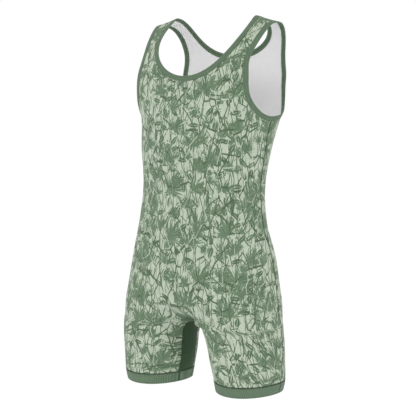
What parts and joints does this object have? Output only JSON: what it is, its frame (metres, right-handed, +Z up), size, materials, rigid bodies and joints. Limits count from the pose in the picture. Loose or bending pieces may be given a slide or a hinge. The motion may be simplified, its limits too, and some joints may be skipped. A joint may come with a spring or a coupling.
{
  "type": "wrestling singlet",
  "caption": "Close-fitting one-piece sleeveless knit garment with short legs, scoop neck, deep armholes, inner-leg gusset, ribbed bindings and hem bands, filled out as worn.",
  "frame": {"origin": "midway between the two straps, level with the tops of the wearer's shoulders, which hold the garment up", "axes": "+Z up along the wearer's body; -Y out of the front of the garment; +X to the wearer's left"},
  "size_m": [0.3704, 0.2442, 0.7671],
  "materials": {
    "printed_knit": "matt, printed leafy pattern in pale and mid green, unprinted pale grey inside",
    "plain_knit": "matt, plain dark green",
    "rib_knit": "matt, plain green rib"
  },
  "bodies": {
    "root": {"front_panel": "printed_knit", "back_panel": "printed_knit", "crotch_gusset": "plain_knit", "neck_binding": "rib_knit", "armhole_binding_left": "rib_knit", "armhole_binding_right": "rib_knit", "hem_band_front_left": "rib_knit", "hem_band_front_right": "rib_knit", "hem_band_back_left": "rib_knit", "hem_band_back_right": "rib_knit", "hem_band_inner_left": "rib_knit", "hem_band_inner_right": "rib_knit"}
  },
  "joints": []
}
